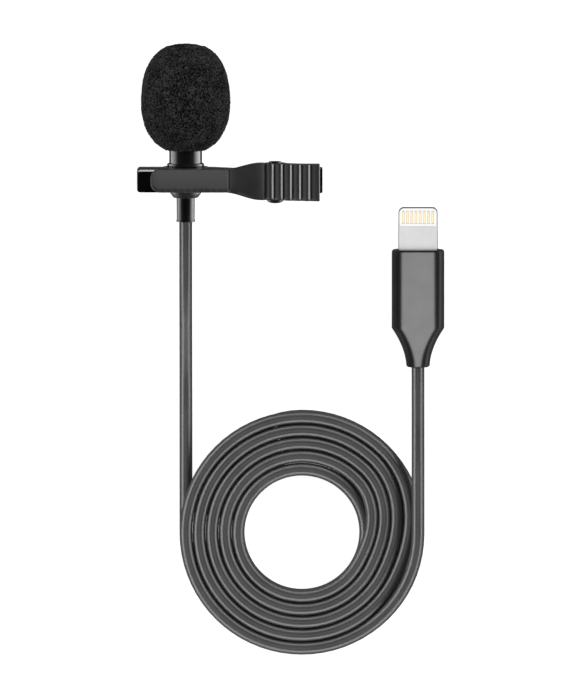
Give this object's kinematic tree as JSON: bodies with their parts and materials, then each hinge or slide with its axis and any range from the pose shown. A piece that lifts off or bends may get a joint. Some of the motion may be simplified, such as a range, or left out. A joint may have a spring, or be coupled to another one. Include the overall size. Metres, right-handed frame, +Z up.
{
  "type": "lavalier microphone",
  "caption": "Clip-on lavalier microphone with foam windscreen, spring clip, coiled cord and reversible phone plug",
  "frame": {"origin": "centre of the box around the microphone and its clip, on the surface that the set lies on", "axes": "+X along the clip towards its grip, +Y along the microphone towards the foam, +Z up from the surface"},
  "size_m": [0.0524, 0.105, 0.0193],
  "materials": {
    "foam": "open-cell foam, coarse and matte",
    "felt": "felt",
    "black_metal": "gloss black",
    "clip_plastic": "satin, fine grain",
    "clip_gloss": "moulded gloss",
    "rubber": "satin",
    "cord": "smooth satin jacket",
    "steel": "bright",
    "aluminium": "drawn",
    "tab_metal": "satin plated",
    "anodised": "satin anodised, dark grey",
    "white_plastic": "moulded",
    "gold": "gold plated",
    "copper": "bare",
    "wire_red": "insulated wire",
    "board": "solder resist",
    "chip": "moulded package"
  },
  "bodies": {
    "microphone": {"mic_body": "black_metal", "head_grille": "black_metal", "body_tail": "clip_plastic", "strain_relief": "rubber", "cord_crimp": "steel", "signal_wire": "wire_red", "ground_wire": "rubber", "capsule_can": "aluminium", "capsule_boot": "rubber", "dust_felt": "felt", "diaphragm": "steel", "spacer_ring": "white_plastic", "backplate": "copper", "backplate_carrier": "white_plastic", "capsule_board": "board", "preamp_transistor": "chip", "cord_mic_lead": "cord", "cord_coil": "cord", "cord_plug_lead": "cord", "plug_housing": "anodised", "plug_tab": "tab_metal", "contact_carrier": "white_plastic", "contact_1": "gold", "contact_2": "gold", "contact_3": "gold", "contact_4": "gold", "contact_5": "gold", "contact_6": "gold", "contact_7": "gold", "contact_8": "gold", "plug_board": "board", "control_chip": "chip", "shield_can": "steel", "plug_clamp": "steel", "cord_collar": "rubber"},
    "windscreen": {"windscreen": "foam"},
    "clip": {"rear_lever": "clip_gloss", "pivot_pin": "black_metal", "torsion_spring": "steel"},
    "front_lever": {"front_lever": "clip_plastic"}
  },
  "joints": [
    {"name": "windscreen_pull", "type": "slide", "parent": "microphone", "child": "windscreen", "axis": [0, 1, 0], "range_m": [0, 0.016]},
    {"name": "clip_swivel", "type": "hinge", "parent": "microphone", "child": "clip", "pos_m": [-0.0075, -0.00967, 0.00765], "axis": [0, 1, 0], "continuous": true},
    {"name": "lever_squeeze", "type": "hinge", "parent": "clip", "child": "front_lever", "pos_m": [0.00774, -0.00967, 0.014], "axis": [0, 1, 0], "range_deg": [0, 28], "stiffness_Nm_per_rad": 0.006, "springref_deg": -45.84, "deforming": ["torsion_spring"]}
  ]
}
